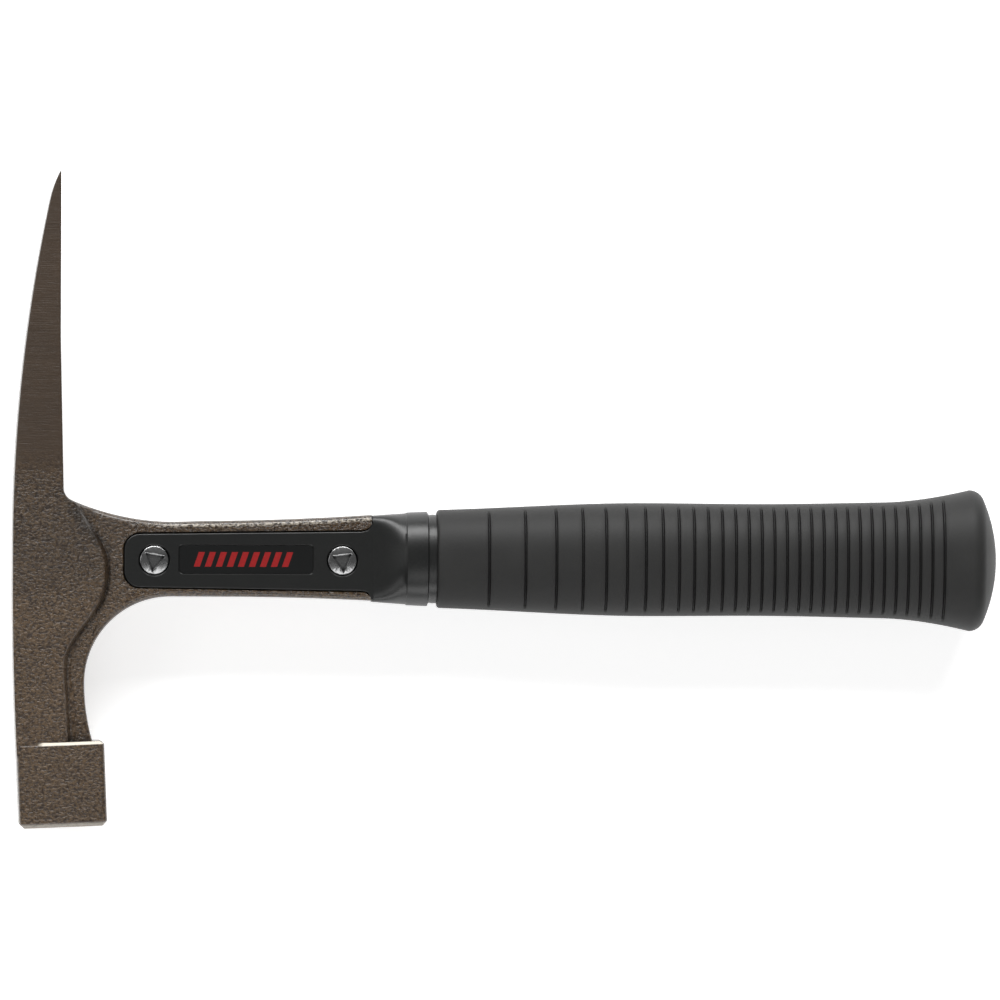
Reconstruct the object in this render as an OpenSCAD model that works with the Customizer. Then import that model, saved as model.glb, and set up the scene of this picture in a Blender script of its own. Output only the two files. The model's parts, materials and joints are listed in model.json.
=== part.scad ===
// Rock hammer with a chisel pick, a square striking block and a two-part screwed handle.
// It lies on its side: the handle runs along +X, the pick points to +Y, the near cheek faces +Z.
// Inside the modules X = 0 is the front of the head, Y = 0 is the handle's centre line and
// Z = 0 is the plane that both halves of the handle meet on. Millimetres.

/* [Overall] */
// Length from the front of the head to the butt
overall_l = 295.5; // [240:0.5:360]
// Reach of the pick's edge above the handle's centre line
pick_reach = 115.6; // [95:0.1:140]
// Drop of the striking face's centre below the handle's centre line
face_drop = 80.5; // [66:0.1:98]

/* [Pick] */
// Thickness of the pick where its ground bevel starts
pick_tip_t = 3.7; // [2:0.1:6]
// Height at which the curved front edge is furthest forward
pick_front_y = 3.6; // [0:0.1:8]
// Distance of the straight inner face from the front of the head
pick_inner_x = 14.2; // [13:0.1:18]
// Growth of that distance where the pick meets the head
pick_root_growth = 1; // [0:0.1:2]
// Height at which the inner face starts to thicken towards the head
pick_root_y = 66; // [45:1:80]
// Radius in the corner between the pick and the head
pick_root_r = 4; // [2:0.5:6]
// Width of the pick at its cutting edge, across the cheeks
pick_edge_w = 22; // [18:0.5:30]
// Length of the ground bevel, measured along the pick
bevel_l = 8.4; // [5:0.1:14]
// Thickness left at the cutting edge
edge_land = 0.3; // [0.2:0.1:1]

/* [Head] */
// Width of the head across its cheeks
head_w = 26; // [24:0.5:30]
// Loss of half width from the front of the head to the body's step
cheek_fall = 1.4; // [0:0.1:2]
// Radius of the front edge below the handle
lower_front_r = 1350; // [1000:10:2500]
// Height at which the lower front edge starts to fall back
lower_front_y = -5; // [-20:1:0]
// Radius of the curve from the head to the top of the neck
upper_curve_r = 78; // [60:1:90]
// Radius of the curve from the head to the underside of the neck
lower_curve_r = 25.8; // [20:0.1:28]
// Growth of the waist's depth where it meets the striking block
waist_flare = 2.6; // [0.5:0.1:4]
// Least depth of the waist, front to back
waist_d = 21.6; // [19:0.1:24]

/* [Striking block] */
// Side of the block, front to back
block_d = 26.3; // [25:0.1:30]
// Height of the block
block_h = 25.4; // [20:0.1:30]
// Tilt of the block towards the handle
block_tilt = 2.4; // [0:0.1:5]
// Place of the block's centre line behind the front of the head
block_x = 14.6; // [14:0.1:16]
// Rounding of the block's upright corners
block_corner_r = 1.6; // [1:0.1:4]
// Chamfer around the striking face
face_chamfer = 1.4; // [0.5:0.1:3]
// Chamfer around the block's shoulder
shoulder_chamfer = 0.9; // [0.3:0.1:2]

/* [Neck] */
// Length from the front of the head to the end of the rails
neck_end = 107.4; // [95:0.1:130]
// Height of the neck's top above the centre line, at its thinnest
neck_up = 10.9; // [10:0.1:14]
// Depth of the neck's underside below the centre line, at its thinnest
neck_down = 11.5; // [10.5:0.1:14]
// Width of the neck across its rails
neck_w = 17; // [14:0.5:20]
// Thickness of the web between the rails, and of the tang
web_t = 6; // [4:0.1:8]
// Place of the pocket's closed end
pocket_x = 33.1; // [30:0.1:40]
// Height of the pocket's top edge above the centre line
pocket_up = 7.6; // [6.5:0.1:8.4]
// Depth of the pocket's lower edge below the centre line
pocket_down = 9.1; // [8:0.1:9.8]
// Radius of the pocket's corners
pocket_r = 5; // [2:0.5:6]
// Growth of the pocket's half height over its length
pocket_growth = 0.9; // [0:0.1:1.2]
// Radius of the rails' inner corners at the pocket's mouth
mouth_r = 2.8; // [1:0.1:3.2]

/* [Tang] */
// Height of the tang inside the handle
tang_h = 16; // [12:0.5:18]
// Distance from the tang's end to the core's end
tang_short = 9; // [5:1:40]
// Distance from the tang pin to the tang's end
pin_inset = 16; // [8:1:30]
// Diameter of the tang pin
pin_d = 5; // [4:0.1:6]
// Wall of the rolled tang pin
pin_wall = 1; // [0.6:0.1:1.5]

/* [Handle halves] */
// Height of each half's cheek above the centre plane
cheek_z = 8.3; // [7.5:0.1:8.5]
// Length of the blend from the rails to the collar
blend_l = 10.5; // [6:0.1:14]
// Length of the collar
collar_l = 6.6; // [4:0.1:10]
// Width of the groove between the collar and the grip
collar_groove_w = 2.7; // [1:0.1:4]
// Half height of the collar at its front edge
collar_front_r = 13.8; // [13.2:0.1:16]
// Half height of the collar at its rear edge
collar_rear_r = 14.2; // [13.5:0.1:16.5]
// Depth of the groove between the collar and the grip
collar_groove = 0.8; // [0.4:0.1:1.5]
// Half height of the core at the front of the grip
core_front_r = 11.6; // [11:0.1:12.4]
// Half width of the flat-sided core
core_half_w = 8.6; // [7.5:0.1:9.4]
// Half height of the core at its end
core_end_r = 13.2; // [12:0.1:14]
// Thickness of rubber behind the core
butt_wall = 12.5; // [6:0.5:16]
// Width to height of the oval section
oval = 0.82; // [0.75:0.01:0.9]

/* [Rubber grip] */
// Half height of the grip at its front
grip_front_r = 14.5; // [13.8:0.1:16]
// Half height of the grip at its belly
grip_belly_r = 16.8; // [15.5:0.1:19]
// Place of the belly, as a share of the grip's length
belly_share = 0.39; // [0.3:0.01:0.5]
// Half height of the grip at its waist
grip_waist_r = 16.5; // [15:0.1:18.5]
// Place of the waist, as a share of the grip's length
waist_share = 0.59; // [0.52:0.01:0.7]
// Half height of the butt
butt_r = 21.2; // [19:0.1:24]
// Length of the butt behind its widest ring
butt_l = 8.1; // [6:0.1:10]
// Radius of the butt's rounded corner
butt_corner_r = 4.5; // [2:0.1:5]
// Distance from the front of the grip to the first groove
groove_start = 15.4; // [8:0.1:24]
// Least distance from the last groove to the butt's widest ring
groove_stop = 7; // [5:0.5:12]
// Distance between grooves near the butt
groove_pitch = 3.58; // [3:0.01:4]
// Extra distance between the first two grooves
groove_spread = 7.28; // [0:0.01:8]
// Ratio by which that extra distance shrinks from groove to groove
groove_ratio = 0.776; // [0.6:0.001:0.8]
// Width of a groove
groove_w = 1; // [0.5:0.1:1.6]
// Depth of a groove
groove_d = 0.8; // [0.4:0.1:1.2]

/* [Fasteners] */
// Distance from the pocket's closed end to the front screw
front_screw_inset = 9.3; // [7:0.1:12]
// Distance from the rear screw to the end of the rails
rear_screw_inset = 8.7; // [7:0.1:12]
// Height of the screws from the centre line
screw_y = -0.6; // [-2:0.1:1]
// Diameter of a screw head
screw_head_d = 9; // [7:0.1:10]
// Thickness of a screw head
screw_head_t = 2.2; // [1.6:0.1:2.6]
// Diameter of the screw's shank
screw_d = 4; // [3:0.1:5]
// Diameter of the barrel nut's barrel
barrel_d = 6; // [5:0.1:7]
// Side of the three-cornered drive recess
drive_side = 6; // [4:0.1:6.6]
// Depth of the drive recess
drive_depth = 1.2; // [0.6:0.1:1.5]
// Turn of the front screw's recess
front_turn = 20; // [0:1:119]
// Turn of the rear screw's recess
rear_turn = 37; // [0:1:119]

/* [Label] */
// Distance from the front screw to the label's recess
label_front_gap = 7.4; // [6:0.1:12]
// Distance from the label's recess to the rear screw
label_rear_gap = 8.7; // [6:0.1:12]
// Height of the label's recess
label_h = 8.7; // [6:0.1:10]
// Height of the recess's centre from the handle's centre line
label_y = -0.3; // [-1:0.1:1]
// Depth of the recess
label_depth = 0.7; // [0.4:0.1:1]
// Thickness of the label
label_t = 0.4; // [0.2:0.1:0.6]
// Corner radius of the recess
label_r = 1.4; // [0.5:0.1:3]

/* [Clearances] */
// Gap between a handle half and the steel around it
pocket_gap = 0.3; // [0.1:0.05:0.6]
// Gap around a fastener's head and barrel, on the diameter
bore_gap = 0.3; // [0.1:0.05:0.6]
// Gap around the screw's shank in the barrel nut, on the diameter
thread_gap = 0.1; // [0.05:0.05:0.3]
// Gap around the label in its recess
label_gap = 0.15; // [0.05:0.05:0.4]
// Gap around the tang in the handle halves
tang_gap = 0.1; // [0.05:0.05:0.4]

/* [Hidden] */
$fn = 64;

// Extra length by which cutting shapes pass through what they cut
over = 1;
// Length that is sure to pass outside the head
far = 200;
// Overlap of two shapes that make one solid
weld = 0.2;
// Thickness of the end slices of a blend
slice = 0.4;

// Origin: the middle of the underside of the whole hammer as it lies
face_low = face_drop + block_d / 2 * sin(block_tilt);
origin_shift = [-overall_l / 2, (face_low - pick_reach) / 2, butt_r * oval];

// Radius of the pick's front edge, from its thickness where the bevel starts
tip_x = pick_inner_x - pick_tip_t;
tip_y = pick_reach - bevel_l - pick_front_y;
pick_front_r = (tip_x * tip_x + tip_y * tip_y) / (2 * tip_x);

// Fillet between the pick's inner face and the upper curve
curve_x = 48.5;
curve_y = neck_up + upper_curve_r;
root_x = pick_inner_x + pick_root_growth;
fillet_x = root_x + pick_root_r;
fillet_y = curve_y - sqrt(pow(upper_curve_r - pick_root_r, 2) - pow(curve_x - fillet_x, 2));
fillet_reach = upper_curve_r / (upper_curve_r - pick_root_r);
fillet_end = [curve_x + (fillet_x - curve_x) * fillet_reach,
    curve_y + (fillet_y - curve_y) * fillet_reach];

// Lower curve, tangent to the neck's underside and to the waist
lower_x = waist_d + lower_curve_r;
lower_y = -neck_down - lower_curve_r;
waist_drop = lower_y - (block_h - face_drop);
waist_r = (waist_flare * waist_flare + waist_drop * waist_drop) / (2 * waist_flare);
waist_x = waist_d + waist_r;

// The neck grows a little towards the handle
neck_rise_r = 860;
neck_fall_r = 940;
neck_fall_x = 62;
neck_end_up = neck_up + neck_rise_r - sqrt(pow(neck_rise_r, 2) - pow(neck_end - curve_x, 2));
neck_end_down = neck_down + neck_fall_r
    - sqrt(pow(neck_fall_r, 2) - pow(neck_end - neck_fall_x, 2));
rail_edge_r = 2;

// Block: its own centre, and the step line of the body above it
block_y = -face_drop + block_h / 2;
block_join = block_y + block_h / 2 - 4;
step_x = 17;
body_reach = 29;
body_step = [[-over, 80], [root_x + over, 40], [step_x, step_x], [27.3, 3.2], [28.2, -5], [27.6, -10],
    [25.8, -15.5], [16.8, -26.9], [16.2, -35], [16.8, -42.5], [17.6, block_join], [-over, block_join]];

// Places along the handle
collar_x = neck_end + blend_l;
collar_end = collar_x + collar_l;
grip_x = collar_end + collar_groove_w;
core_end = overall_l - butt_wall;
tang_end = core_end - tang_short;
pin_x = tang_end - pin_inset;
butt_x = overall_l - butt_l;
belly_x = grip_x + belly_share * (overall_l - butt_l - grip_x);
grip_waist_x = grip_x + waist_share * (overall_l - butt_l - grip_x);
groove_x = grip_x + groove_start;

// Label, between the screws
front_screw_x = pocket_x + front_screw_inset;
rear_screw_x = neck_end - rear_screw_inset;
label_l = rear_screw_x - front_screw_x - label_front_gap - label_rear_gap;
label_x = front_screw_x + label_front_gap + label_l / 2;

// Fasteners
head_sunk = 0.2;
head_seat = cheek_z - screw_head_t - head_sunk;
screw_tip = -head_seat + 1.5;
barrel_end = head_seat - 0.6;
head_edge = 0.5;
head_dome = 0.35;

// Distance from the centre line to the centre of each cheek's flatter arc
cheek_centre = 12;

// Front edge of the pick at height y
function front_edge(y) = pick_front_r - sqrt(pow(pick_front_r, 2) - pow(y - pick_front_y, 2));
function ease(t) = t <= 0 ? 0 : t >= 1 ? 1 : t * t * (3 - 2 * t);
function between(x, a, b) = ease((x - a) / (b - a));
// Half height of the rubber grip at x
flare_l = 25.4;
flare_share = 0.78;
flare_power = 1.8;
function grip_r(x) = grip_front_r
    + (grip_belly_r - grip_front_r) * between(x, grip_x - 12, belly_x)
    + (grip_waist_r - grip_belly_r) * between(x, belly_x, grip_waist_x)
    + (butt_r - grip_waist_r) * (1 - flare_share) * between(x, grip_waist_x, butt_x)
    + (butt_r - grip_waist_r) * flare_share * pow(max(0, 1 - (butt_x - x) / flare_l), flare_power);

// The grooves start wide apart and close up to an even pitch towards the butt
function groove_at(i) = groove_x + i * groove_pitch
    + groove_spread * (1 - pow(groove_ratio, i)) / (1 - groove_ratio);
most_grooves = ceil((butt_x - groove_x) / groove_pitch);
groove_places = [for (i = [0:most_grooves]) if (groove_at(i) < butt_x - groove_stop) groove_at(i)];

module placed() {
    translate(origin_shift) children();
}

// Turns a profile of [x, radius] points about the handle's centre line
module turned(points) {
    rotate([0, 90, 0]) rotate_extrude($fn = 96) polygon([for (p = points) [p[1], p[0]]]);
}

// Oval solid: a round spine between two flatter cheeks, which are turned about lines that
// lie cheek_centre beyond the centre line. Both profiles are [x, distance from the centre line].
module oval_turned(spine, cheek) {
    side = concat([[cheek[0][0], -cheek_centre]], cheek, [[cheek[len(cheek) - 1][0], -cheek_centre]]);
    intersection() {
        turned(spine);
        for_side(1) turned([for (p = side) [p[0], p[1] + cheek_centre]]);
        for_side(-1) turned([for (p = side) [p[0], p[1] + cheek_centre]]);
    }
}

module for_side(s) {
    translate([0, 0, -s * cheek_centre]) children();
}

module rounded_rectangle(l, w, r) {
    square([l, w - 2 * r], center = true);
    square([l - 2 * r, w], center = true);
    for (sx = [-1, 1]) for (sy = [-1, 1])
        translate([sx * (l / 2 - r), sy * (w / 2 - r)]) circle(r);
}

// ---- Head ----

// Everything behind the head's front edge
module front_limit() {
    intersection() {
        translate([pick_front_r, pick_front_y]) circle(pick_front_r, $fn = 360);
        translate([-over, 0]) square([far, far]);
    }
    intersection() {
        translate([lower_front_r, lower_front_y]) circle(lower_front_r, $fn = 360);
        translate([-over, -far]) square([far, far]);
    }
}

// The space between the pick and the neck's top
module above_neck() {
    intersection() {
        translate([curve_x, curve_y]) circle(upper_curve_r, $fn = 180);
        polygon([[fillet_end[0], 0], [fillet_end[0], fillet_end[1]], [fillet_x, fillet_y],
            [root_x, fillet_y], [pick_inner_x, pick_root_y], [curve_x, pick_root_y], [curve_x, 0]]);
    }
    translate([fillet_x, fillet_y]) circle(pick_root_r);
    translate([pick_inner_x, pick_root_y]) square([far, far]);
    translate([curve_x, neck_up + neck_rise_r]) intersection() {
        circle(neck_rise_r, $fn = 360);
        translate([0, -neck_rise_r - over]) square([far, far]);
    }
}

// The space between the waist and the neck's underside
module below_neck() {
    intersection() {
        translate([lower_x, lower_y]) circle(lower_curve_r, $fn = 90);
        translate([0, lower_y]) square([lower_x, lower_curve_r + over]);
    }
    intersection() {
        translate([waist_x, lower_y]) circle(waist_r, $fn = 180);
        translate([0, lower_y - 40]) square([waist_r, 40]);
    }
    translate([lower_x, -far - neck_down]) square([neck_fall_x - lower_x, far]);
    translate([lower_x, lower_y - 40]) square([far, 40]);
    translate([neck_fall_x, -neck_down - neck_fall_r]) intersection() {
        circle(neck_fall_r, $fn = 360);
        translate([0, neck_fall_r - 60]) square([far, 60 + over]);
    }
}

module head_outline() {
    difference() {
        intersection() {
            front_limit();
            translate([-over, block_join]) square([neck_end + over, pick_reach - block_join]);
        }
        above_neck();
        below_neck();
        polygon([[-over, pick_reach + over], [-over, pick_reach - bevel_l],
            [front_edge(pick_reach - bevel_l), pick_reach - bevel_l],
            [pick_inner_x - edge_land, pick_reach],
            [pick_inner_x - edge_land, pick_reach + over]]);
    }
}

// The full-width front of the head: pick and raised body
module front_body() {
    intersection() {
        linear_extrude(head_w, center = true) intersection() {
            head_outline();
            union() {
                polygon(body_step);
                translate([-over, pick_root_y / 2]) square([pick_inner_x + 3 * over, far]);
            }
        }
        rotate([90, 0, 0]) linear_extrude(2 * far, center = true)
            polygon([for (s = [1, -1]) for (x = s > 0 ? [0, body_reach] : [body_reach, 0])
                [x == 0 ? -over : x, s * (head_w / 2 - cheek_fall * x / step_x)]]);
        rotate([90, 0, 90]) linear_extrude(far, center = true)
            polygon([[-far, -head_w / 2], [fillet_y, -head_w / 2], [pick_reach, -pick_edge_w / 2],
                [pick_reach, pick_edge_w / 2], [fillet_y, head_w / 2], [-far, head_w / 2]]);
    }
}

module striking_block() {
    translate([block_x, block_y, 0]) rotate([0, 0, block_tilt]) intersection() {
        rotate([90, 0, 0]) linear_extrude(block_h, center = true)
            rounded_rectangle(block_d, head_w, block_corner_r);
        linear_extrude(head_w + over, center = true) chamfered_outline(block_d);
        rotate([0, 90, 0]) linear_extrude(block_d + over, center = true) chamfered_outline(head_w);
    }
}

// Outline of the block seen from the side, w wide, chamfered at its face and its shoulder
module chamfered_outline(w) {
    half = [[w / 2 - face_chamfer, -block_h / 2], [w / 2, face_chamfer - block_h / 2],
        [w / 2, block_h / 2 - shoulder_chamfer], [w / 2 - shoulder_chamfer, block_h / 2]];
    polygon(concat(half, [for (i = [3:-1:0]) [-half[i][0], half[i][1]]]));
}

// Outline of the pocket between the rails, moved inwards by gap
module pocket_outline(gap, length) {
    r = pocket_r - gap;
    x = pocket_x + pocket_r;
    up = pocket_up - gap;
    down = pocket_down - gap;
    grown = pocket_growth * (length - x) / (neck_end - x);
    translate([x, up - r]) circle(r);
    translate([x, r - down]) circle(r);
    translate([x - r, r - down]) square([r, up + down - 2 * r]);
    polygon([[x, up], [length, up + grown], [length, -down - grown], [x, -down]]);
    translate([neck_end - mouth_r, up + pocket_growth - weld]) mouth_corner(gap, length);
    mirror([0, 1, 0]) translate([neck_end - mouth_r, down + pocket_growth - weld])
        mouth_corner(gap, length);
}

// What the rounding of a rail's inner corner leaves free
module mouth_corner(gap, length) {
    difference() {
        square([length - neck_end + mouth_r, mouth_r]);
        translate([0, mouth_r + gap + weld]) circle(mouth_r + gap);
    }
}

module hammer_head() {
    color("#574d43") placed() difference() {
        union() {
            front_body();
            striking_block();
            linear_extrude(neck_w, center = true) head_outline();
            translate([neck_end - over, -tang_h / 2, -web_t / 2])
                cube([tang_end - neck_end + over, tang_h, web_t]);
        }
        for (s = [0, 1]) mirror([0, 0, s]) translate([0, 0, web_t / 2])
            linear_extrude(far) pocket_outline(0, neck_end + over);
        for (x = [front_screw_x, rear_screw_x]) translate([x, screw_y, 0])
            cylinder(d = barrel_d + bore_gap, h = far, center = true);
        translate([pin_x, 0, 0]) cylinder(d = pin_d, h = far, center = true);
    }
}

// ---- Handle ----

// Blend from the neck's flat section to the oval collar
module collar_blend() {
    hull() {
        translate([neck_end + pocket_gap, (neck_end_up - neck_end_down) / 2, 0])
            rotate([90, 0, 90]) linear_extrude(slice)
                rounded_rectangle(neck_end_up + neck_end_down, 2 * cheek_z, rail_edge_r, $fn = 32);
        translate([collar_x - slice, 0, 0]) rotate([90, 0, 90]) linear_extrude(slice)
            oval_section(collar_front_r);
    }
}

// Section of an oval solid of half height r
module oval_section(r) {
    intersection() {
        circle(r, $fn = 64);
        translate([0, cheek_centre]) circle(r * oval + cheek_centre, $fn = 96);
        translate([0, -cheek_centre]) circle(r * oval + cheek_centre, $fn = 96);
    }
}

// Flat-sided bar that fills the grip
module core_bar() {
    intersection() {
        turned([[collar_end, 0], [collar_end, core_front_r], [grip_x, core_front_r],
            [core_end, core_end_r], [core_end, 0]]);
        translate([0, -far / 2, -core_half_w]) cube([2 * far, far, 2 * core_half_w]);
    }
}

module handle_solid() {
    groove_r = collar_rear_r - collar_groove;
    collar_points = [[collar_x - weld, collar_front_r], [collar_end, collar_rear_r],
        [collar_end, groove_r], [grip_x, groove_r]];
    linear_extrude(2 * cheek_z, center = true) pocket_outline(pocket_gap, neck_end + over);
    collar_blend();
    oval_turned(concat([[collar_x - weld, 0]], collar_points, [[grip_x, 0]]),
        [for (p = collar_points) [p[0], p[1] * oval]]);
    core_bar();
}

module handle_half() {
    difference() {
        intersection() {
            handle_solid();
            translate([0, -far / 2, 0]) cube([2 * far, far, far]);
        }
        translate([0, -far / 2, -over]) cube([neck_end + pocket_gap, far, web_t / 2 + over]);
        translate([0, -tang_h / 2 - tang_gap, -over])
            cube([tang_end + tang_gap, tang_h + 2 * tang_gap, web_t / 2 + over]);
        for (x = [front_screw_x, rear_screw_x]) translate([x, screw_y, 0]) {
            cylinder(d = barrel_d + bore_gap, h = far);
            translate([0, 0, head_seat]) cylinder(d = screw_head_d + bore_gap, h = far);
        }
        translate([pin_x, 0, 0]) cylinder(d = pin_d, h = far);
        translate([label_x, label_y, cheek_z - label_depth])
            linear_extrude(far) rounded_rectangle(label_l, label_h, label_r);
    }
}

module near_handle_half() {
    color("#2b2c2b") placed() handle_half();
}

module far_handle_half() {
    color("#2b2c2b") placed() mirror([0, 0, 1]) handle_half();
}

// Ring that cuts the groove at x into the cheek on side s
module grip_groove(x, s) {
    for_side(s) translate([x - groove_w / 2, 0, 0]) rotate([0, 90, 0]) rotate_extrude($fn = 96)
        translate([grip_r(x) * oval + cheek_centre - groove_d, 0]) square([groove_d + over, groove_w]);
}

module rubber_grip() {
    corner_points = [for (a = [90:-18:18]) [butt_x + butt_corner_r * cos(a),
        butt_r - butt_corner_r + butt_corner_r * sin(a)]];
    dome_x = butt_x + butt_corner_r * cos(18);
    dome_r = butt_r - butt_corner_r + butt_corner_r * sin(18);
    dome_points = [for (t = [0.75, 0.5, 0.25, 0])
        [dome_x + (overall_l - dome_x) * (1 - t * t), dome_r * t]];
    long_points = [for (i = [0:26]) let (x = grip_x + (butt_x - grip_x) * i / 26) [x, grip_r(x)]];
    color("#343434") placed() difference() {
        oval_turned(concat([[grip_x, 0]], long_points, corner_points, dome_points),
            concat([for (p = long_points) [p[0], p[1] * oval]],
                [[overall_l + over, (butt_r - 2 * butt_corner_r) * oval]]));
        core_bar();
        for (s = [1, -1]) for (x = groove_places) grip_groove(x, s);
    }
}

module tang_pin() {
    half = core_half_w - 0.2;
    color("#8a8a86") placed() translate([pin_x, 0, 0]) difference() {
        cylinder(d = pin_d, h = 2 * half, center = true);
        cylinder(d = pin_d - 2 * pin_wall, h = far, center = true);
        translate([0, -pin_wall / 2, -far]) cube([pin_d, pin_wall, 2 * far]);
    }
}

// ---- Labels and fasteners, drawn for the near side ----

module label() {
    translate([label_x, label_y, cheek_z - label_depth]) linear_extrude(label_t)
        rounded_rectangle(label_l - 2 * label_gap, label_h - 2 * label_gap, label_r - label_gap);
}

module near_label() {
    color("#b43232") placed() label();
}

module far_label() {
    color("#b43232") placed() mirror([0, 0, 1]) label();
}

// Low domed head with a three-cornered recess, its seat at z = 0
module security_head(turn) {
    difference() {
        rotate_extrude() polygon([[0, 0], [screw_head_d / 2, 0],
            [screw_head_d / 2, screw_head_t - head_edge],
            [screw_head_d / 2 - head_edge, screw_head_t - head_edge / 2],
            [screw_head_d / 4, screw_head_t - head_edge / 2 + head_dome * 0.75],
            [0, screw_head_t - head_edge / 2 + head_dome]]);
        translate([0, 0, screw_head_t - drive_depth]) linear_extrude(far)
            rotate(turn) circle(r = drive_side / sqrt(3), $fn = 3);
    }
}

module screw(x, turn) {
    color("#c9c7c1") placed() translate([x, screw_y, 0]) {
        translate([0, 0, head_seat]) security_head(turn);
        translate([0, 0, screw_tip]) cylinder(d = screw_d, h = head_seat - screw_tip + weld);
    }
}

module barrel_nut(x, turn) {
    color("#c9c7c1") placed() translate([x, screw_y, 0]) difference() {
        union() {
            mirror([0, 0, 1]) translate([0, 0, head_seat]) security_head(turn);
            translate([0, 0, -head_seat - weld])
                cylinder(d = barrel_d, h = barrel_end + head_seat + weld);
        }
        translate([0, 0, screw_tip - thread_gap]) cylinder(d = screw_d + thread_gap, h = far);
    }
}

module front_screw() {
    screw(front_screw_x, front_turn);
}

module rear_screw() {
    screw(rear_screw_x, rear_turn);
}

module front_barrel_nut() {
    barrel_nut(front_screw_x, rear_turn);
}

module rear_barrel_nut() {
    barrel_nut(rear_screw_x, front_turn);
}

hammer_head();
near_handle_half();
far_handle_half();
rubber_grip();
tang_pin();
near_label();
far_label();
front_screw();
rear_screw();
front_barrel_nut();
rear_barrel_nut();
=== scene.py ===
"""A rock hammer lying on its side: forged head, two-part screwed nylon handle, rubber grip."""

import json
import math

import bmesh
import bpy
import numpy as np
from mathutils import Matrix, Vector

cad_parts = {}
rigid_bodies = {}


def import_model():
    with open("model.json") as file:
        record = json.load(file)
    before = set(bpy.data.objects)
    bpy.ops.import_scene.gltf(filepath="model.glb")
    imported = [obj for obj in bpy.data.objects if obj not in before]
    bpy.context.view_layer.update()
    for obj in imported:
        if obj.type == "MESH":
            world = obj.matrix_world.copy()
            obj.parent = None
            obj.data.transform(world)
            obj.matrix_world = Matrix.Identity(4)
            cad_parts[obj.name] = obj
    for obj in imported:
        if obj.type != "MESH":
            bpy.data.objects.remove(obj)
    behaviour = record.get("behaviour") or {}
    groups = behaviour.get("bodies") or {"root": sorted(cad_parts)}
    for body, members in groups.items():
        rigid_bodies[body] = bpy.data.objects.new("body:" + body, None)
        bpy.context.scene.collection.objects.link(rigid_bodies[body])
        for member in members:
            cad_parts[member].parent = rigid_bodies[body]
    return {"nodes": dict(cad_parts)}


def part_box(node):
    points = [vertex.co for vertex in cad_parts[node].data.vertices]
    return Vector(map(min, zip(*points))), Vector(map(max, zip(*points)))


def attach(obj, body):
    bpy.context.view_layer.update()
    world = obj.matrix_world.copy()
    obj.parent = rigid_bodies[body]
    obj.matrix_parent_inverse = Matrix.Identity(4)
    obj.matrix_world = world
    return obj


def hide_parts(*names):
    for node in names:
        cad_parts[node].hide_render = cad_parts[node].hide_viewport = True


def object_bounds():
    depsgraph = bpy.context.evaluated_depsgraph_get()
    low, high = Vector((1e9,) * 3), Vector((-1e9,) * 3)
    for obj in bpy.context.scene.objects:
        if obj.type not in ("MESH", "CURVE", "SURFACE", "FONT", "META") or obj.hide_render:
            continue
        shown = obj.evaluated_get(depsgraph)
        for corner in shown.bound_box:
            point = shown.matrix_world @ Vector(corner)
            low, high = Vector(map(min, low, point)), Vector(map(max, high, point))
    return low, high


for leftover in list(bpy.data.objects):
    bpy.data.objects.remove(leftover)

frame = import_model()
cad_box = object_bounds()

MM = 0.001
hammer_l = 295.5  # millimetres from the front of the head to the butt

# The design origin: the front of the head, the handle's centre line and the halves' plane
pin_low, pin_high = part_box("tang_pin")
grip_low, grip_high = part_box("rubber_grip")
pin_middle = (pin_low + pin_high) / 2
origin = Vector((grip_high.x - hammer_l * MM, pin_middle.y, pin_middle.z))


def place(x, y, z):
    """A point given in millimetres from the design origin, in the row frame."""
    return origin + Vector((x, y, z)) * MM


def design(point):
    """A point of the row frame, in millimetres from the design origin."""
    return (point - origin) / MM


def ease(t):
    t = min(1.0, max(0.0, t))
    return t * t * (3 - 2 * t)


# ---- Making and finishing pieces ----

def only(piece):
    """Leaves just this piece selected and active."""
    bpy.ops.object.select_all(action="DESELECT")
    piece.select_set(True)
    bpy.context.view_layer.objects.active = piece
    return piece


def cleaned_copy(node_name, piece_name, whole_faces=True):
    """A copy of a CAD node with its triangles merged and, if asked, its flat faces made whole."""
    source = frame["nodes"][node_name]
    piece = source.copy()
    piece.data = source.data.copy()
    piece.parent = None
    for key in list(piece.keys()):
        del piece[key]
    piece.name = piece_name
    bpy.context.scene.collection.objects.link(piece)
    piece.data.materials.clear()
    only(piece)
    bpy.ops.mesh.customdata_custom_splitnormals_clear()
    bpy.ops.object.mode_set(mode="EDIT")
    bpy.ops.mesh.select_all(action="SELECT")
    bpy.ops.mesh.remove_doubles(threshold=0.002 * MM)
    if whole_faces:
        bpy.ops.mesh.dissolve_limited(angle_limit=math.radians(0.4))
    bpy.ops.object.mode_set(mode="OBJECT")
    return piece


def select_where(piece, kind, wanted):
    """In edit mode, selects just the vertices, edges or faces for which wanted() is true."""
    bpy.ops.mesh.select_mode(type={"verts": "VERT", "edges": "EDGE", "faces": "FACE"}[kind])
    bpy.ops.mesh.select_all(action="DESELECT")
    mesh = bmesh.from_edit_mesh(piece.data)
    for item in getattr(mesh, kind):
        if wanted(item):
            item.select_set(True)
    mesh.select_flush_mode()
    bmesh.update_edit_mesh(piece.data)


def cut_away(piece, x, keep_front):
    """Cuts a piece across at x and closes it, keeping what is in front of the cut or behind it."""
    only(piece)
    bpy.ops.object.mode_set(mode="EDIT")
    bpy.ops.mesh.select_all(action="SELECT")
    bpy.ops.mesh.bisect(plane_co=place(x, 0, 0), plane_no=(1, 0, 0), use_fill=True,
        clear_outer=keep_front, clear_inner=not keep_front)
    bpy.ops.object.mode_set(mode="OBJECT")


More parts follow.
